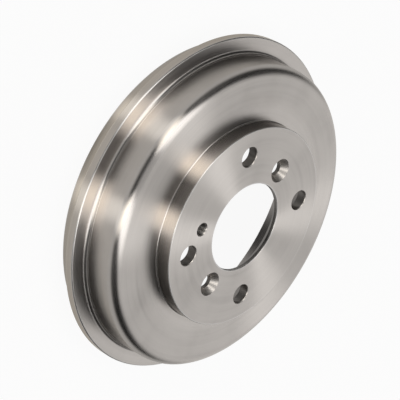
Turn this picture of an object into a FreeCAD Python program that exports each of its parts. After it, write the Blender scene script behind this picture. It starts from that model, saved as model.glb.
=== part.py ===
import FreeCAD, Part
import math
import os

# Brake drum: one grey iron casting, machined all over.
# The drum turns about Z. Its open end lies on Z = 0 and its hub face is at the top.
# Driving dimensions are in millimetres and degrees.

# Overall
overall_height = 53.0

# Friction surface
friction_radius = 95.0
friction_entry_chamfer = 0.5

# Drum wall and the web that carries it
wall_thickness = 7.0
web_thickness = 6.5
shoulder_radius = 6.2
inner_corner_chamfer = 3.0

# Plain ring at the open end, and the stiffening flange above it
rim_ring_thickness = 9.5
rim_ring_height = 11.6
rim_ring_chamfer = 0.4
flange_width = 11.0
flange_thickness = 6.1
flange_chamfer = 0.6
flange_foot_radius = 2.5

# Raised hub plate
hub_radius = 67.0
hub_height = 10.3
hub_plate_thickness = 6.5
hub_wall_thickness = 6.5
hub_edge_chamfer = 0.4
hub_foot_radius = 0.8
recess_corner_chamfer = 2.0
recess_edge_chamfer = 1.0

# Centre bore, with a long lead-in on the side that meets the axle
bore_radius = 29.5
bore_mouth_chamfer = 0.3
bore_lead_in = 4.1

# Wheel stud holes
stud_count = 4
stud_circle_radius = 50.0
stud_first_angle = 0.0
stud_hole_radius = 6.5
stud_hole_chamfer = 0.45

# Countersunk holes for the retaining screws
screw_count = 2
screw_circle_radius = 41.7
screw_first_angle = -45.0
screw_hole_radius = 4.25
screw_head_radius = 8.0

# Threaded hole for a jacking screw, drawn at the thread's major diameter
jack_circle_radius = 41.6
jack_angle = 70.0
jack_thread_radius = 4.0
jack_mouth_radius = 4.6

# How far each cutting tool runs past the faces that it passes through
tool_overrun = 1.0

# A fillet or chamfer takes up at most this share of an edge beside it
longest_corner_share = 0.48

# Radii and heights that follow from the driving dimensions
body_radius = friction_radius + wall_thickness
flange_radius = body_radius + flange_width
rim_ring_radius = friction_radius + rim_ring_thickness
recess_radius = hub_radius - hub_wall_thickness

flange_bottom = rim_ring_height
flange_top = flange_bottom + flange_thickness
hub_face = overall_height
web_top = hub_face - hub_height
web_bottom = web_top - web_thickness
plate_bottom = hub_face - hub_plate_thickness


def point(radius, height):
    return FreeCAD.Vector(radius, 0, height)


def corner_reach(before, corner, after, wanted):
    """How far a fillet or chamfer may run along the edges that meet at a corner."""
    shorter_edge = min(before.distanceToPoint(corner), after.distanceToPoint(corner))
    return min(wanted, longest_corner_share * shorter_edge)


def rounded_edges(start, end, centre, middle):
    """Two equal arcs about a centre, which meet at the middle of the rounded corner."""
    radius = start.distanceToPoint(centre)
    arcs = []
    for first, last in ((start, middle), (middle, end)):
        halfway = centre + (first + last - centre * 2).normalize() * radius
        arcs.append(Part.Arc(first, halfway, last).toShape())
    return arcs


def finished_corner(before, corner, after, finish, size):
    """The start and end of a finished corner, and the edges between them."""
    if finish == "sharp":
        return corner, corner, []
    to_before = (before - corner).normalize()
    to_after = (after - corner).normalize()
    half_angle = to_before.getAngle(to_after) / 2
    wanted = size if finish == "chamfer" else size / math.tan(half_angle)
    reach = corner_reach(before, corner, after, wanted)
    start = corner + to_before * reach
    end = corner + to_after * reach
    if finish == "chamfer":
        return start, end, [Part.LineSegment(start, end).toShape()]
    inward = (to_before + to_after).normalize()
    centre = corner + inward * (reach / math.cos(half_angle))
    middle = centre - inward * (reach * math.tan(half_angle))
    return start, end, rounded_edges(start, end, centre, middle)


def section(corners):
    """A closed face through corners given as (radius, height, finish, size)."""
    points = [point(radius, height) for radius, height, finish, size in corners]
    finished = []
    for index, (radius, height, finish, size) in enumerate(corners):
        before = points[index - 1]
        after = points[(index + 1) % len(points)]
        finished.append(finished_corner(before, points[index], after, finish, size))
    edges = []
    for index, (start, end, corner_edges) in enumerate(finished):
        edges.extend(corner_edges)
        next_start = finished[(index + 1) % len(finished)][0]
        edges.append(Part.LineSegment(end, next_start).toShape())
    return Part.Face(Part.Wire(edges))


def turned_body():
    """The whole drum without its holes, turned from one section."""
    outside = [
        (friction_radius, 0, "chamfer", friction_entry_chamfer),
        (rim_ring_radius, 0, "chamfer", rim_ring_chamfer),
        (rim_ring_radius, flange_bottom, "sharp", 0),
        (flange_radius, flange_bottom, "chamfer", flange_chamfer),
        (flange_radius, flange_top, "chamfer", flange_chamfer),
        (body_radius, flange_top, "round", flange_foot_radius),
        (body_radius, web_top, "round", shoulder_radius),
        (hub_radius, web_top, "round", hub_foot_radius),
        (hub_radius, hub_face, "chamfer", hub_edge_chamfer),
    ]
    inside = [
        (bore_radius, hub_face, "chamfer", bore_mouth_chamfer),
        (bore_radius, plate_bottom, "chamfer", bore_lead_in),
        (recess_radius, plate_bottom, "chamfer", recess_corner_chamfer),
        (recess_radius, web_bottom, "chamfer", recess_edge_chamfer),
        (friction_radius, web_bottom, "chamfer", inner_corner_chamfer),
    ]
    axis = FreeCAD.Vector(0, 0, 1)
    return section(outside + inside).revolve(FreeCAD.Vector(), axis, 360)


def through_tool(radius):
    """A drill that passes right through the hub plate."""
    length = hub_plate_thickness + 2 * tool_overrun
    return Part.makeCylinder(radius, length, point(0, plate_bottom - tool_overrun))


def countersink(hole_radius, mouth_radius):
    """A 90 degree cone that opens a hole out to its mouth at the hub face."""
    depth = mouth_radius - hole_radius
    return Part.makeCone(hole_radius, mouth_radius + tool_overrun, depth + tool_overrun,
                         point(0, hub_face - depth))


def around_axis(tool, circle_radius, count, first_angle):
    """Equally spaced copies of a tool on a circle about the drum's axis."""
    placed = []
    for index in range(count):
        copy = tool.copy()
        copy.translate(point(circle_radius, 0))
        angle = first_angle + index * 360.0 / count
        copy.rotate(FreeCAD.Vector(), FreeCAD.Vector(0, 0, 1), angle)
        placed.append(copy)
    return placed


def stud_holes():
    mouth_radius = stud_hole_radius + stud_hole_chamfer
    tool = through_tool(stud_hole_radius).fuse(countersink(stud_hole_radius, mouth_radius))
    return around_axis(tool, stud_circle_radius, stud_count, stud_first_angle)


def screw_holes():
    tool = through_tool(screw_hole_radius).fuse(countersink(screw_hole_radius, screw_head_radius))
    return around_axis(tool, screw_circle_radius, screw_count, screw_first_angle)


def jack_hole():
    tool = through_tool(jack_thread_radius).fuse(countersink(jack_thread_radius, jack_mouth_radius))
    return around_axis(tool, jack_circle_radius, 1, jack_angle)


def brake_drum():
    return turned_body().cut(stud_holes() + screw_holes() + jack_hole())


os.makedirs("parts", exist_ok=True)
drum = brake_drum()
drum.Solids[0].exportStep("parts/brake_drum.step")
print("valid", drum.isValid(), "solids", len(drum.Solids), "volume", round(drum.Volume))
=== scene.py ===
import math
import bpy
from mathutils import Matrix, Vector
from mathutils.geometry import tessellate_polygon


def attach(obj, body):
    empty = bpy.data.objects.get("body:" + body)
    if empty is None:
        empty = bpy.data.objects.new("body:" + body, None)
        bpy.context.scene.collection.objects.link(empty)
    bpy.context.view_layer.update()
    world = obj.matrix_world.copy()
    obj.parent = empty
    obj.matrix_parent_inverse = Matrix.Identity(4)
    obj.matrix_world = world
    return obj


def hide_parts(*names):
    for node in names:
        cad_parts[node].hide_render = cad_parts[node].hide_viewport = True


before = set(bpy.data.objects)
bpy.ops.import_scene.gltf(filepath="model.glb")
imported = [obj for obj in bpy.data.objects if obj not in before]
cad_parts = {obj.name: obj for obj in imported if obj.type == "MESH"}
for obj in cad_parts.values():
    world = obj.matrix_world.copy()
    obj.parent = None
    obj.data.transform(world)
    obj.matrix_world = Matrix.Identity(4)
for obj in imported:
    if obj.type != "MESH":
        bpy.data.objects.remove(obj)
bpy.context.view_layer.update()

# The view: degrees, metres and millimetres of lens
VIEW_AZIMUTH = 50.88
VIEW_ELEVATION = 36.0
VIEW_ROLL = 118.45
VIEW_DISTANCE = 1.1111
VIEW_AIM = (0.01342, 0.01403, 0.0265)
LENS = 160.49
SENSOR = 36.0

# The metal: its colour, where it is dull or worn bare, its painted shade deep in the bore and the holes,
# and at a glancing angle
IRON_COLOUR = (0.622, 0.585, 0.552, 1)
IRON_DULL = (0.46, 0.435, 0.41, 1)
IRON_BARE = (0.74, 0.72, 0.70, 1)
# Painted shade deep in the bore and the holes, darker still in the thread
IRON_PAINTED_SHADE = (0.34, 0.32, 0.3, 1)
THREAD_PAINTED_SHADE = (0.22, 0.21, 0.2, 1)
IRON_EDGE = (0.9, 0.89, 0.88, 1)

# Sharp and broad sheen of the metal: roughness and anisotropy of each
TURNED_SHEENS = ((0.2213, 0.926), (0.3466, 1.0))
DRILLED_SHEENS = ((0.3, 0.75), (0.55, 0.3))
ALONG_GRAIN = 0.25

# Share of the broad sheen on upright walls and on level faces, and how level is level
TURNED_BROAD_SHARE = (0.06, 0.9)
CORNER_BROAD_SHARE = 0.25
DRILLED_BROAD_SHARE = (0.35, 0.9)
WALL_TO_FACE = (0.5, 0.95)

# The finest cuts lie in the corners of the web and of the flange, by radius
HUB_CORNER = (66.9, 67.0, 71, 84)
FLANGE_CORNER = (96, 100)

# Tool marks in millimetres: how far apart, how long and how deep they are
FINE_MARKS = (0.55, 70, 0.005)
WIDE_MARKS = (2.4, 200, 0.006)
DRILL_MARKS = (0.5, 7, 0.025)
MARK_DETAIL = 2
STAIN_SIZE = 22
STAIN_DETAIL = 3

# Where marks and stains are dull, how dull they are, and how much the sheen changes with them
DULL_FINE_LINES = (0.4, 0.75)
DULL_WIDE_LINES = (0.45, 0.75)
DULL_STAINS = (0.45, 0.75)
DULL_SHARE = 0.15
UNEVEN_LINES = (0.1, 0.9)
UNEVENNESS = (0.93, 1.08)

# Bare edges: how far they reach, in what patches, and their scuffed sheen
WEAR_REACH = (0.35, 1.0)
WEAR_PATCHES = (0.35, 0.6, 0.4, 1.0)
SCUFF_ROUGHNESS = 0.5
SCUFF_SHARE = 0.35

# Painted shade on deep metal: the bore's land by radius, hole walls by slope, the thread by depth
BORE_LAND_SHADE = (29.55, 29.75)
HOLE_WALL_SHADE = (0.1, 0.6)
THREAD_SHADE_TOP = (1.2, 0.3)

# The floor in metres: the painted shadow under the drum and the painted warm glow near it, which only the
# metal sees, by distance from the axis
FLOOR_HALF_WIDTH = 3.0
FLOOR_DROP = 0.0002
FLOOR_GREY = (0.8, 0.8, 0.8, 1)
FLOOR_WHITE_SHARE = 0.93
UNDER_DRUM = (0.098, 0.113)
NEAR_DRUM = (0.115, 0.15)
PAINTED_WARM_GLOW = (1, 0.95, 0.86, 1)
UNDER_NEARER = (-0.04, 0.02, 0.3, 0.07)
UNDER_WALL = (0.068, 0.078)
UNDER_ASIDE = (0.003, 0.028, 0.06, 0.42)

# Two upright strip lamps: angles round from the camera's side and heights, in degrees
STRIP_ANGLES = (14, 29, 35, 52)
STRIP_TOP = (45, 60)
STRIP_LEVEL = 1.55
STRIP_CORE = (24, 34, 44, 56)
STRIP_CORE_EXTRA = 0.9

# Two panels overhead, on a plane one unit above the drum
PANEL_INNER = (0.16, 0.11)
PANEL_OUTER = (0.6, 0.4)
PANEL_BLUR = (0.08, 0.16)
PANEL_FORWARD = (-1.0, -0.6, 0.9, 1.2)
PANEL_LEVELS = (-0.7, -0.2, 1.6, 1.75)
LEAST_RISE = 0.05

# A pale wall behind, which is wider at its top
WALL_ANGLES = (140, 165)
WALL_TOP = (58, 75)
WALL_RISE = (42, 56)
WALL_LEAN = 36
WALL_LEVEL = 0.77

# The dim room between them, and the roof in the gap overhead
ROOM_FRONT = 0.05
ROOM_BESIDE = 0.13
ROOM_SIDE = 0.025
ROOM_FRONT_ANGLES = (10, 40)
ROOM_SIDE_ANGLES = (45, 115)
ROOM_HANDS = (-0.4, 0.4)
ROOM_DIM_HAND = 0.66
ROOF_RISE = (30, 62)
ROOF_SIDES = (0.2, 0.7)
ROOF_LEVEL = 0.44

# The floor as the metal sees it far from the drum
FLOOR_ANGLES = (50, 110)
FLOOR_FRONT = 0.54
FLOOR_SIDE = 0.5
FLOOR_STRIP = 1.05
FLOOR_BACK = 0.8
HORIZON = (-4, 14)
FLOOR_WARMTH = 0.2
NEUTRAL = (1, 1, 1, 1)
WARM = (1.05, 1, 0.91, 1)

# The drum in millimetres, as in its solid
OVERALL_HEIGHT = 53.0
FRICTION_RADIUS = 95.0
FRICTION_ENTRY = 0.5
BODY_RADIUS = 102.0
SHOULDER_RADIUS = 6.2
INNER_CORNER = 3.0
RIM_RING_RADIUS = 104.5
RIM_RING_EDGE = 0.4
FLANGE_RADIUS = 113.0
FLANGE_BOTTOM = 11.6
FLANGE_TOP = 17.7
FLANGE_EDGE = 0.9
FLANGE_FOOT = 2.5
FOOT_LEDGE = 0.2
FOOT_LEDGE_RISE = 2.65
FOOT_LEDGE_EDGE = 0.1
HUB_RADIUS = 67.0
HUB_EDGE = 0.5
HUB_FOOT = 0.8
WEB_TOP = 42.7
WEB_BOTTOM = 36.2
RECESS_RADIUS = 60.5
RECESS_CORNER = 2.0
RECESS_EDGE = 1.0
PLATE_BOTTOM = 46.5
BORE_RADIUS = 29.5
BORE_MOUTH = 0.3
BORE_LEAD_IN = 4.1

# Outer edges that handling keeps bare: radius and height
WORN_EDGES = ((FLANGE_RADIUS, FLANGE_TOP), (FLANGE_RADIUS, FLANGE_BOTTOM), (RIM_RING_RADIUS, 0),
              (HUB_RADIUS, OVERALL_HEIGHT), (BORE_RADIUS, OVERALL_HEIGHT))

# Holes through the hub plate: circle radius, angle, hole radius, mouth radius
STUD_HOLES = [(50.0, angle, 6.5, 6.95) for angle in (0, 90, 180, 270)]
SCREW_HOLES = [(41.7, angle, 4.25, 8.0) for angle in (-45, 135)]
JACK_HOLE = (41.6, 70.0, 4.0, 4.6)

# The thread: its ridges as slopes that are cut off at the crest and the root
THREAD_PITCH = 1.25
THREAD_DEPTH = 0.62
THREAD_SLOPE = 1.4
THREAD_ROOT = 0.2
THREAD_STEPS = 8
THREAD_PROBE = 0.02

# Steps round the drum, round a hole and over a rounded edge
DRUM_STEPS = 360
HOLE_STEPS = 96
EDGE_STEPS = 8
EDGE_STEPS_PER_MILLIMETRE = 2
MILLIMETRE = 0.001

# Material slots of the drum's mesh
TURNED = 0
DRILLED = 1
TAPPED = 2


def add_camera():
    azimuth = math.radians(VIEW_AZIMUTH)
    elevation = math.radians(VIEW_ELEVATION)
    back = Vector((math.cos(elevation) * math.cos(azimuth),
                   math.cos(elevation) * math.sin(azimuth),
                   math.sin(elevation)))
    right = Vector((0, 0, 1)).cross(back).normalized()
    up = back.cross(right)
    turn = Matrix.Rotation(math.radians(VIEW_ROLL), 3, back)
    axes = Matrix((turn @ right, turn @ up, back)).transposed()
    data = bpy.data.cameras.new("camera")
    data.sensor_width = SENSOR
    data.lens = LENS
    camera = bpy.data.objects.new("camera", data)
    camera.matrix_world = Matrix.Translation(Vector(VIEW_AIM) + back * VIEW_DISTANCE) @ axes.to_4x4()
    bpy.context.scene.collection.objects.link(camera)
    bpy.context.scene.camera = camera


class Graph:
    """Short calls for building a node tree."""

    def __init__(self, tree):
        self.tree = tree
        tree.nodes.clear()

    def node(self, kind, **settings):
        made = self.tree.nodes.new(kind)
        for name, value in settings.items():
            setattr(made, name, value)
        return made

    def feed(self, socket, value):
        if isinstance(value, bpy.types.NodeSocket):
            self.tree.links.new(value, socket)
        else:
            socket.default_value = value

    def math(self, operation, first, second=0.0, third=None):
        made = self.node("ShaderNodeMath", operation=operation)
        self.feed(made.inputs[0], first)
        self.feed(made.inputs[1], second)
        if third is not None:
            self.feed(made.inputs[2], third)
        return made.outputs[0]

    def length(self, first, second):
        """Length of a step with two parts at right angles."""
        return self.math("SQRT", self.math("ADD", self.math("MULTIPLY", first, first),
                                           self.math("MULTIPLY", second, second)))

    def vector(self, operation, first, second=(0, 0, 0)):
        made = self.node("ShaderNodeVectorMath", operation=operation)
        self.feed(made.inputs[0], first)
        self.feed(made.inputs[1], second)
        return made

    def mix_shaders(self, share, first, second):
        made = self.node("ShaderNodeMixShader")
        self.feed(made.inputs[0], share)
        self.feed(made.inputs[1], first.outputs[0])
        self.feed(made.inputs[2], second.outputs[0])
        return made

    def mix_colours(self, share, first, second):
        made = self.node("ShaderNodeMix", data_type="RGBA")
        self.feed(made.inputs[0], share)
        self.feed(made.inputs[6], first)
        self.feed(made.inputs[7], second)
        return made.outputs[2]

    def ramp(self, value, low, high, at_low=0.0, at_high=1.0, smooth=True):
        made = self.node("ShaderNodeMapRange", interpolation_type="SMOOTHSTEP" if smooth else "LINEAR")
        self.feed(made.inputs["Value"], value)
        self.feed(made.inputs["From Min"], low)
        self.feed(made.inputs["From Max"], high)
        self.feed(made.inputs["To Min"], at_low)
        self.feed(made.inputs["To Max"], at_high)
        return made.outputs["Result"]

    def band(self, value, rise_from, rise_to, fall_from, fall_to):
        """1 between two soft edges, 0 outside them."""
        return self.math("MULTIPLY", self.ramp(value, rise_from, rise_to),
                         self.ramp(value, fall_from, fall_to, 1.0, 0.0))


def towards_camera(graph, direction):
    """Split a direction into its share towards the camera's side, its share across that and its rise."""
    split = graph.node("ShaderNodeSeparateXYZ")
    graph.feed(split.inputs[0], direction)
    x, y, rise = split.outputs
    cosine = math.cos(math.radians(VIEW_AZIMUTH))
    sine = math.sin(math.radians(VIEW_AZIMUTH))
    along = graph.math("ADD", graph.math("MULTIPLY", x, cosine), graph.math("MULTIPLY", y, sine))
    across = graph.math("SUBTRACT", graph.math("MULTIPLY", y, cosine), graph.math("MULTIPLY", x, sine))
    return along, across, rise


def strip_lamps(graph, angle, height):
    """Where the strip lamps in front are, one on each hand, and how bright."""
    strip = graph.math("MULTIPLY", graph.band(angle, *STRIP_ANGLES),
                       graph.ramp(height, *STRIP_TOP, 1.0, 0.0))
    core = graph.math("MULTIPLY", graph.band(height, *STRIP_CORE), STRIP_CORE_EXTRA)
    return strip, graph.math("MULTIPLY", strip, graph.math("ADD", core, STRIP_LEVEL))


def overhead_panels(graph, sideways, forward):
    """Panels that widen towards the front, with a gap between them."""
    inner = graph.math("MULTIPLY_ADD", forward, PANEL_INNER[1], PANEL_INNER[0])
    outer = graph.math("MULTIPLY_ADD", forward, PANEL_OUTER[1], PANEL_OUTER[0])
    inner_blur, outer_blur = PANEL_BLUR
    panel = graph.math("MULTIPLY",
                       graph.ramp(graph.math("SUBTRACT", sideways, inner), -inner_blur, inner_blur),
                       graph.ramp(graph.math("SUBTRACT", outer, sideways), -outer_blur, outer_blur))
    panel = graph.math("MULTIPLY", panel, graph.band(forward, *PANEL_FORWARD))
    return graph.math("MULTIPLY", panel, graph.ramp(forward, *PANEL_LEVELS))


def back_wall(graph, angle, height):
    lean = graph.ramp(height, *WALL_RISE, 0.0, WALL_LEAN, smooth=False)
    wall = graph.math("MULTIPLY", graph.ramp(graph.math("ADD", angle, lean), *WALL_ANGLES),
                      graph.ramp(height, *WALL_TOP, 1.0, 0.0))
    return graph.math("MULTIPLY", wall, WALL_LEVEL)


def dim_room(graph, angle, height, across, sideways):
    """The room, darker on one hand, with some light in the gap overhead."""
    room = graph.math("SUBTRACT", graph.ramp(angle, *ROOM_FRONT_ANGLES, ROOM_FRONT, ROOM_BESIDE),
                      graph.ramp(angle, *ROOM_SIDE_ANGLES, 0.0, ROOM_BESIDE - ROOM_SIDE))
    room = graph.math("MULTIPLY", room, graph.ramp(across, *ROOM_HANDS, 1.0, ROOM_DIM_HAND))
    roof = graph.math("MULTIPLY", graph.ramp(height, *ROOF_RISE),
                      graph.ramp(sideways, *ROOF_SIDES, ROOF_LEVEL, 0.0))
    return graph.math("ADD", room, roof)


def far_floor(graph, angle):
    """The floor below the horizon, with the glow of the lamps and the wall on it."""
    floor = graph.ramp(angle, *FLOOR_ANGLES, FLOOR_FRONT, FLOOR_SIDE)
    glow = graph.math("MULTIPLY", graph.band(angle, *STRIP_ANGLES), FLOOR_STRIP)
    floor = graph.math("MAXIMUM", floor, glow)
    return graph.math("MAXIMUM", floor, graph.ramp(angle, *WALL_ANGLES, 0.0, FLOOR_BACK))


def build_world():
    world = bpy.data.worlds.new("studio")
    bpy.context.scene.world = world
    world.use_nodes = True
    graph = Graph(world.node_tree)
    coordinates = graph.node("ShaderNodeTexCoord")
    along, across, up = towards_camera(graph, coordinates.outputs["Generated"])
    # Degrees round from the camera's side, 0 to 180 on either hand, and degrees above the floor
    aside = graph.math("ABSOLUTE", across)
    angle = graph.math("DEGREES", graph.math("ARCTAN2", aside, along))
    height = graph.math("DEGREES", graph.math("ARCSINE", up))
    # The same direction as a place on a plane overhead
    level = graph.math("MAXIMUM", up, LEAST_RISE)
    sideways = graph.math("DIVIDE", aside, level)
    forward = graph.math("DIVIDE", along, level)
    strip, strip_level = strip_lamps(graph, angle, height)
    total = dim_room(graph, angle, height, across, sideways)
    for part in (strip_level, overhead_panels(graph, sideways, forward), back_wall(graph, angle, height)):
        total = graph.math("MAXIMUM", total, part)
    above = graph.ramp(height, *HORIZON)
    low = graph.math("MULTIPLY", far_floor(graph, angle), graph.math("SUBTRACT", 1.0, above))
    total = graph.math("ADD", low, graph.math("MULTIPLY", total, above))
    warmth = graph.math("MAXIMUM", graph.math("MULTIPLY", strip, above),
                        graph.math("MULTIPLY", low, FLOOR_WARMTH))
    studio = graph.node("ShaderNodeBackground")
    graph.feed(studio.inputs["Color"], graph.mix_colours(warmth, NEUTRAL, WARM))
    graph.feed(studio.inputs["Strength"], total)
    white = graph.node("ShaderNodeBackground")
    graph.feed(white.inputs["Color"], NEUTRAL)
    path = graph.node("ShaderNodeLightPath")
    seen = graph.mix_shaders(path.outputs["Is Camera Ray"], studio, white)
    output = graph.node("ShaderNodeOutputWorld")
    graph.feed(output.inputs["Surface"], seen.outputs[0])


def floor_material():
    material = bpy.data.materials.new("floor")
    material.use_nodes = True
    graph = Graph(material.node_tree)
    # The camera sees it white with a faint shadow
    diffuse = graph.node("ShaderNodeBsdfDiffuse")
    diffuse.inputs["Color"].default_value = FLOOR_GREY
    white = graph.node("ShaderNodeEmission")
    pale = graph.mix_shaders(FLOOR_WHITE_SHARE, diffuse, white)
    # The metal sees a painted shadow under the drum, a painted warm glow near it, and the far floor beyond
    # it
    place = graph.node("ShaderNodeNewGeometry")
    along, across, rise = towards_camera(graph, place.outputs["Position"])
    distance = graph.length(along, across)
    middle = graph.ramp(along, *UNDER_NEARER)
    edge = graph.ramp(graph.math("ABSOLUTE", across), *UNDER_ASIDE)
    # Painted shadow: a dim emission under the drum stands in for the shade there
    painted_shadow = graph.node("ShaderNodeEmission")
    graph.feed(painted_shadow.inputs["Strength"], graph.ramp(distance, *UNDER_WALL, middle, edge))
    clear = graph.node("ShaderNodeBsdfTransparent")
    # Painted warm glow on the floor near the drum, seen only in the metal
    tint = graph.mix_colours(graph.ramp(distance, *NEAR_DRUM), PAINTED_WARM_GLOW, NEUTRAL)
    graph.feed(clear.inputs["Color"], tint)
    reflected = graph.mix_shaders(graph.ramp(distance, *UNDER_DRUM), painted_shadow, clear)
    path = graph.node("ShaderNodeLightPath")
    seen = graph.mix_shaders(path.outputs["Is Glossy Ray"], pale, reflected)
    output = graph.node("ShaderNodeOutputMaterial")
    graph.feed(output.inputs["Surface"], seen.outputs[0])
    return material


def add_floor():
    half = FLOOR_HALF_WIDTH
    mesh = bpy.data.meshes.new("floor")
    corners = [(-half, -half, 0), (half, -half, 0), (half, half, 0), (-half, half, 0)]
    mesh.from_pydata(corners, [], [(0, 1, 2, 3)])
    mesh.materials.append(floor_material())
    floor = bpy.data.objects.new("floor", mesh)
    floor.location.z = -FLOOR_DROP
    bpy.context.scene.collection.objects.link(floor)


def noise(graph, place, detail):
    made = graph.node("ShaderNodeTexNoise")
    graph.feed(made.inputs["Vector"], place)
    made.inputs["Scale"].default_value = 1
    made.inputs["Detail"].default_value = detail
    return made.outputs[0]


def tool_marks(graph, travel, heading, spacing, length):
    """Noise drawn out along the path of a tool that runs round an axis."""
    rise = graph.node("ShaderNodeCombineXYZ")
    graph.feed(rise.inputs[2], graph.math("DIVIDE", travel, spacing))
    turn = graph.vector("MULTIPLY", heading, (FLANGE_RADIUS / length, FLANGE_RADIUS / length, 0))
    return noise(graph, graph.vector("ADD", rise.outputs[0], turn.outputs[0]).outputs[0], MARK_DETAIL)


class TurnedSurface:
    """Surfaces turned about the drum's axis."""

    sheens = TURNED_SHEENS
    painted_shade = IRON_PAINTED_SHADE
    fine_marks = FINE_MARKS
    wide_marks = WIDE_MARKS

    def __init__(self, graph, place):
        flat = graph.vector("MULTIPLY", place, (1, 1, 0)).outputs[0]
        self.radius = graph.vector("LENGTH", flat).outputs["Value"]
        self.height = graph.vector("DOT_PRODUCT", place, (0, 0, 1)).outputs["Value"]
        self.travel = graph.math("SUBTRACT", self.radius, self.height)
        self.heading = graph.vector("NORMALIZE", flat).outputs[0]
        self.grain = graph.node("ShaderNodeTangent", direction_type="RADIAL", axis="Z").outputs[0]

    def broad_share(self, graph):
        """Share of the broad sheen on walls and on faces, less in the corners."""
        corner = graph.math("MAXIMUM", graph.band(self.radius, *HUB_CORNER),
                            graph.ramp(self.radius, *FLANGE_CORNER))
        on_walls, on_faces = TURNED_BROAD_SHARE
        return on_walls, graph.ramp(corner, 0.0, 1.0, on_faces, CORNER_BROAD_SHARE, smooth=False)

    def depth(self, graph, facing):
        """Painted shade: 1 on the short land of the centre bore, 0 outside it."""
        return graph.ramp(self.radius, *BORE_LAND_SHADE, 1.0, 0.0)

    def wear(self, graph):
        """1 on the edges where handling keeps the metal bare, 0 away from them."""
        worn = 0.0
        for edge_radius, edge_height in WORN_EDGES:
            reach = graph.length(graph.math("SUBTRACT", self.radius, edge_radius),
                                 graph.math("SUBTRACT", self.height, edge_height))
            worn = graph.math("MAXIMUM", worn, graph.ramp(reach, *WEAR_REACH, 1.0, 0.0))
        return worn


class DrilledSurface:
    """Walls and mouths of the holes through the hub plate."""

    sheens = DRILLED_SHEENS
    painted_shade = IRON_PAINTED_SHADE
    fine_marks = DRILL_MARKS
    wide_marks = WIDE_MARKS

    def __init__(self, graph, place):
        normal = graph.node("ShaderNodeNewGeometry").outputs["Normal"]
        flat = graph.vector("MULTIPLY", normal, (1, 1, 0)).outputs[0]
        self.travel = graph.vector("DOT_PRODUCT", place, (0, 0, 1)).outputs["Value"]
        self.heading = graph.vector("NORMALIZE", flat).outputs[0]
        self.grain = graph.vector("CROSS_PRODUCT", (0, 0, 1), normal).outputs[0]

    def broad_share(self, graph):
        return DRILLED_BROAD_SHARE

    def depth(self, graph, facing):
        """Painted shade: 1 on the upright wall of a hole, 0 on its sloping mouth."""
        return graph.ramp(facing, *HOLE_WALL_SHADE, 1.0, 0.0)

    def wear(self, graph):
        """None, because handling doesn't reach into a hole."""
        return None


class TappedSurface(DrilledSurface):
    """The thread of the jacking hole."""

    painted_shade = THREAD_PAINTED_SHADE

    def depth(self, graph, facing):
        """Painted shade: 1 below the hole's mouth, 0 on it."""
        low, high = THREAD_SHADE_TOP
        return graph.ramp(self.travel, OVERALL_HEIGHT - low, OVERALL_HEIGHT - high, 1.0, 0.0)


def bright_metal(graph, colour, bump, grain, roughness, anisotropy):
    """Bright iron whose tool marks run along the grain."""
    shader = graph.node("ShaderNodeBsdfMetallic", distribution="BECKMANN", fresnel_type="F82")
    graph.feed(shader.inputs["Base Color"], colour)
    shader.inputs["Edge Tint"].default_value = IRON_EDGE
    graph.feed(shader.inputs["Roughness"], roughness)
    shader.inputs["Anisotropy"].default_value = anisotropy
    shader.inputs["Rotation"].default_value = ALONG_GRAIN
    graph.feed(shader.inputs["Normal"], bump)
    graph.feed(shader.inputs["Tangent"], grain)
    return shader


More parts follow.
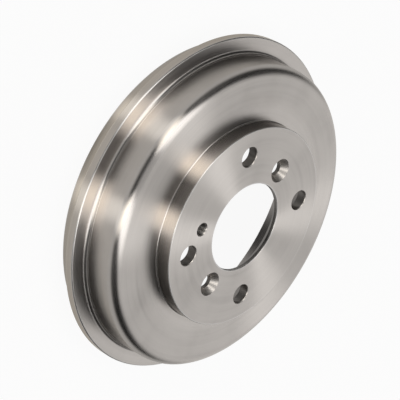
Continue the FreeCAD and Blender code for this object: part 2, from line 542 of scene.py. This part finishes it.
def machined_iron(name, kind):
    material = bpy.data.materials.new(name)
    material.use_nodes = True
    graph = Graph(material.node_tree)
    coordinates = graph.node("ShaderNodeTexCoord")
    place = graph.vector("MULTIPLY", coordinates.outputs["Object"], [1 / MILLIMETRE] * 3).outputs[0]
    surface = kind(graph, place)
    fine_spacing, fine_length, fine_depth = surface.fine_marks
    wide_spacing, wide_length, wide_depth = surface.wide_marks
    fine = tool_marks(graph, surface.travel, surface.heading, fine_spacing, fine_length)
    wide = tool_marks(graph, surface.travel, surface.heading, wide_spacing, wide_length)
    stain_place = graph.vector("MULTIPLY", place, [1 / STAIN_SIZE] * 3).outputs[0]
    stain = noise(graph, stain_place, STAIN_DETAIL)
    wear = surface.wear(graph)
    if wear is not None:
        wear = graph.math("MULTIPLY", wear, graph.ramp(stain, *WEAR_PATCHES))
    rise = graph.vector("DOT_PRODUCT", coordinates.outputs["Normal"], (0, 0, 1)).outputs["Value"]
    facing = graph.math("ABSOLUTE", rise)
    # Dull lines and soft stains in the colour, painted shade deep in the bore and the holes, and bare metal
    # along the edges
    dull = graph.math("ADD", graph.ramp(fine, *DULL_FINE_LINES), graph.ramp(wide, *DULL_WIDE_LINES))
    dull = graph.math("MULTIPLY", graph.math("ADD", dull, graph.ramp(stain, *DULL_STAINS)), DULL_SHARE)
    colour = graph.mix_colours(dull, IRON_COLOUR, IRON_DULL)
    # Painted shade darkens the bore's land, the hole walls and the thread
    colour = graph.mix_colours(surface.depth(graph, facing), colour, surface.painted_shade)
    if wear is not None:
        colour = graph.mix_colours(wear, colour, IRON_BARE)
    # Grooves that catch the light
    depth = graph.math("ADD", graph.math("MULTIPLY", fine, fine_depth),
                       graph.math("MULTIPLY", wide, wide_depth))
    bump = graph.node("ShaderNodeBump")
    bump.inputs["Strength"].default_value = 1
    bump.inputs["Distance"].default_value = MILLIMETRE
    graph.feed(bump.inputs["Height"], depth)
    grooves = bump.outputs[0]
    # A sharp and a broad sheen, whose spread changes a little from line to line
    lines = graph.math("ADD", wide, graph.math("SUBTRACT", stain, fine))
    unevenness = graph.ramp(lines, *UNEVEN_LINES, *UNEVENNESS)
    sheens = []
    for roughness, anisotropy in surface.sheens:
        spread = graph.math("MULTIPLY", unevenness, roughness)
        sheens.append(bright_metal(graph, colour, grooves, surface.grain, spread, anisotropy))
    share = graph.ramp(facing, *WALL_TO_FACE, *surface.broad_share(graph))
    finish = graph.mix_shaders(share, *sheens)
    if wear is not None:
        scuffed = bright_metal(graph, IRON_BARE, grooves, surface.grain, SCUFF_ROUGHNESS, 0.0)
        finish = graph.mix_shaders(graph.math("MULTIPLY", wear, SCUFF_SHARE), finish, scuffed)
    output = graph.node("ShaderNodeOutputMaterial")
    graph.feed(output.inputs["Surface"], finish.outputs[0])
    return material


def drum_section():
    """Corners of the closed section: radius, height, finish and its size."""
    ledge_radius = BODY_RADIUS + FOOT_LEDGE
    ledge_height = FLANGE_TOP + FOOT_LEDGE_RISE
    return [
        (FRICTION_RADIUS, 0, "round", FRICTION_ENTRY),
        (RIM_RING_RADIUS, 0, "round", RIM_RING_EDGE),
        (RIM_RING_RADIUS, FLANGE_BOTTOM, "sharp", 0),
        (FLANGE_RADIUS, FLANGE_BOTTOM, "round", FLANGE_EDGE),
        (FLANGE_RADIUS, FLANGE_TOP, "round", FLANGE_EDGE),
        (ledge_radius, FLANGE_TOP, "round", FLANGE_FOOT),
        (ledge_radius, ledge_height, "round", FOOT_LEDGE_EDGE),
        (BODY_RADIUS, ledge_height, "round", FOOT_LEDGE_EDGE),
        (BODY_RADIUS, WEB_TOP, "round", SHOULDER_RADIUS),
        (HUB_RADIUS, WEB_TOP, "round", HUB_FOOT),
        (HUB_RADIUS, OVERALL_HEIGHT, "round", HUB_EDGE),
        (BORE_RADIUS, OVERALL_HEIGHT, "round", BORE_MOUTH),
        (BORE_RADIUS, PLATE_BOTTOM, "chamfer", BORE_LEAD_IN),
        (RECESS_RADIUS, PLATE_BOTTOM, "chamfer", RECESS_CORNER),
        (RECESS_RADIUS, WEB_BOTTOM, "chamfer", RECESS_EDGE),
        (FRICTION_RADIUS, WEB_BOTTOM, "chamfer", INNER_CORNER),
    ]


def outward(direction):
    """The side of a section's line that faces away from the metal."""
    return Vector((direction.y, -direction.x))


def finished_corner(before, corner, after, finish, size):
    """Places over one finished corner, each with the normals before and after it."""
    first = (corner - before).normalized()
    second = (after - corner).normalized()
    normal = outward(first)
    next_normal = outward(second)
    if finish == "sharp":
        return [(corner, normal, next_normal)]
    if finish == "chamfer":
        start = corner - first * size
        end = corner + second * size
        slope = outward((end - start).normalized())
        return [(start, normal, slope), (end, slope, next_normal)]
    turn = math.atan2(first.x * second.y - first.y * second.x, first.dot(second))
    reach = size * math.tan(abs(turn) / 2)
    side = math.copysign(size, turn)
    centre = corner - first * reach - normal * side
    steps = max(EDGE_STEPS, round(size * EDGE_STEPS_PER_MILLIMETRE))
    places = []
    for step in range(steps + 1):
        share = step * turn / steps
        bent = Vector((normal.x * math.cos(share) - normal.y * math.sin(share),
                       normal.x * math.sin(share) + normal.y * math.cos(share)))
        places.append((centre + bent * side, bent, bent))
    return places


def finished_section(corners):
    """Places round a closed section, each with the normals before and after it."""
    spots = [Vector(corner[:2]) for corner in corners]
    places = []
    for index, corner in enumerate(corners):
        before = spots[index - 1]
        after = spots[(index + 1) % len(spots)]
        places.extend(finished_corner(before, spots[index], after, *corner[2:]))
    return places


class Skin:
    """Points, faces and corner normals of one mesh."""

    def __init__(self):
        self.points = []
        self.faces = []
        self.normals = []
        self.slots = []

    def point(self, place):
        self.points.append(place)
        return len(self.points) - 1

    def ring(self, spot, centre, steps):
        """A level circle of points."""
        circle = []
        for step in range(steps):
            angle = math.tau * step / steps
            place = (centre[0] + spot.x * math.cos(angle), centre[1] + spot.x * math.sin(angle), spot.y)
            circle.append(self.point(place))
        return circle

    def face(self, corners, normals, slot):
        self.faces.append(corners)
        self.normals.extend(normals)
        self.slots.append(slot)

    def band(self, first, first_normal, second, second_normal, slot):
        """Faces between two circles that follow each other along a section."""
        steps = len(first)
        for step in range(steps):
            following = (step + 1) % steps
            corners = (first[step], first[following], second[following], second[step])
            slopes = ((step, first_normal), (step + 1, first_normal),
                      (step + 1, second_normal), (step, second_normal))
            normals = []
            for place, slope in slopes:
                angle = math.tau * place / steps
                normals.append((slope.x * math.cos(angle), slope.x * math.sin(angle), slope.y))
            self.face(corners, normals, slot)

    def plate(self, loops, rise):
        """A level face inside the first loop and outside the others."""
        outlines = [[Vector(self.points[number]) for number in loop] for loop in loops]
        numbers = [number for loop in loops for number in loop]
        for triangle in tessellate_polygon(outlines):
            corners = [numbers[index] for index in triangle]
            a, b, c = (Vector(self.points[number]) for number in corners)
            if (b - a).cross(c - a).z * rise < 0:
                corners.reverse()
            self.face(corners, [(0, 0, rise)] * 3, TURNED)


def hole_centre(circle_radius, angle):
    turn = math.radians(angle)
    return circle_radius * math.cos(turn), circle_radius * math.sin(turn)


def add_hole(skin, hole):
    """The plain wall and mouth of one hole; gives its circles in the two plate faces."""
    circle_radius, angle, radius, mouth_radius = hole
    centre = hole_centre(circle_radius, angle)
    slope = Vector((-1, 1)).normalized()
    inward = Vector((-1, 0))
    mouth = skin.ring(Vector((mouth_radius, OVERALL_HEIGHT)), centre, HOLE_STEPS)
    throat = skin.ring(Vector((radius, OVERALL_HEIGHT - mouth_radius + radius)), centre, HOLE_STEPS)
    foot = skin.ring(Vector((radius, PLATE_BOTTOM)), centre, HOLE_STEPS)
    skin.band(mouth, slope, throat, slope, DRILLED)
    skin.band(throat, inward, foot, inward, DRILLED)
    return mouth, foot


def thread_radius(angle, height):
    """Radius of the threaded hole's wall, which its chamfered mouth cuts back."""
    radius, mouth_radius = JACK_HOLE[2:]
    phase = (height / THREAD_PITCH - angle / math.tau) % 1.0
    ridge = THREAD_SLOPE * (1.0 - abs(2.0 * phase - 1.0)) - THREAD_ROOT
    ridge = min(1.0, max(0.0, ridge))
    return max(radius - THREAD_DEPTH * ridge, mouth_radius - (OVERALL_HEIGHT - height))


def thread_normal(angle, height):
    """Normal of the thread's wall, from how its radius changes round the hole and up it."""
    step = THREAD_PROBE
    around = thread_radius(angle + step, height) - thread_radius(angle - step, height)
    upward = thread_radius(angle, height + step) - thread_radius(angle, height - step)
    round_slope = around / (2 * step * thread_radius(angle, height))
    rise_slope = upward / (2 * step)
    cosine = math.cos(angle)
    sine = math.sin(angle)
    return Vector((-cosine - round_slope * sine, -sine + round_slope * cosine, rise_slope)).normalized()


def add_threaded_hole(skin):
    """The jacking hole with the ridges of its thread; gives its circles in the two plate faces."""
    x, y = hole_centre(*JACK_HOLE[:2])
    rows = math.ceil((OVERALL_HEIGHT - PLATE_BOTTOM) * THREAD_STEPS / THREAD_PITCH)
    circles = []
    for row in range(rows + 1):
        height = OVERALL_HEIGHT + (PLATE_BOTTOM - OVERALL_HEIGHT) * row / rows
        circle = []
        for step in range(HOLE_STEPS):
            angle = math.tau * step / HOLE_STEPS
            reach = thread_radius(angle, height)
            circle.append(skin.point((x + reach * math.cos(angle), y + reach * math.sin(angle), height)))
        circles.append((height, circle))
    for (height, circle), (next_height, next_circle) in zip(circles, circles[1:]):
        for step in range(HOLE_STEPS):
            following = (step + 1) % HOLE_STEPS
            angle = math.tau * step / HOLE_STEPS
            next_angle = math.tau * (step + 1) / HOLE_STEPS
            spots = ((angle, height), (next_angle, height), (next_angle, next_height), (angle, next_height))
            skin.face((circle[step], circle[following], next_circle[following], next_circle[step]),
                      [thread_normal(*spot) for spot in spots], TAPPED)
    return circles[0][1], circles[-1][1]


def add_turned_surfaces(skin):
    """Everything that is turned; gives the circles that bound the hub plate's two faces."""
    places = finished_section(drum_section())
    circles = [skin.ring(place[0], (0, 0), DRUM_STEPS) for place in places]
    edges = {}
    for index, (spot, before, after) in enumerate(places):
        following = (index + 1) % len(places)
        next_spot, next_before, next_after = places[following]
        if spot.y == next_spot.y and spot.y in (OVERALL_HEIGHT, PLATE_BOTTOM):
            bounds = ((spot.x, circles[index]), (next_spot.x, circles[following]))
            edges[spot.y] = [circle for radius, circle in sorted(bounds, reverse=True)]
        else:
            skin.band(circles[index], after, circles[following], next_before, TURNED)
    return edges


def add_drum(materials):
    skin = Skin()
    edges = add_turned_surfaces(skin)
    holes = [add_hole(skin, hole) for hole in STUD_HOLES + SCREW_HOLES] + [add_threaded_hole(skin)]
    for height, side, rise in ((OVERALL_HEIGHT, 0, 1), (PLATE_BOTTOM, 1, -1)):
        skin.plate(edges[height] + [hole[side] for hole in holes], rise)
    mesh = bpy.data.meshes.new("drum")
    mesh.from_pydata([[MILLIMETRE * share for share in place] for place in skin.points], [], skin.faces)
    for material in materials:
        mesh.materials.append(material)
    mesh.polygons.foreach_set("material_index", skin.slots)
    mesh.polygons.foreach_set("use_smooth", [True] * len(skin.faces))
    mesh.normals_split_custom_set(skin.normals)
    drum = bpy.data.objects.new("drum", mesh)
    bpy.context.scene.collection.objects.link(drum)
    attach(drum, "root")
    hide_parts("brake_drum")


add_camera()
build_world()
add_floor()
add_drum([machined_iron("turned_iron", TurnedSurface), machined_iron("drilled_iron", DrilledSurface),
          machined_iron("tapped_iron", TappedSurface)])

bpy.context.scene.view_settings.view_transform = "Standard"
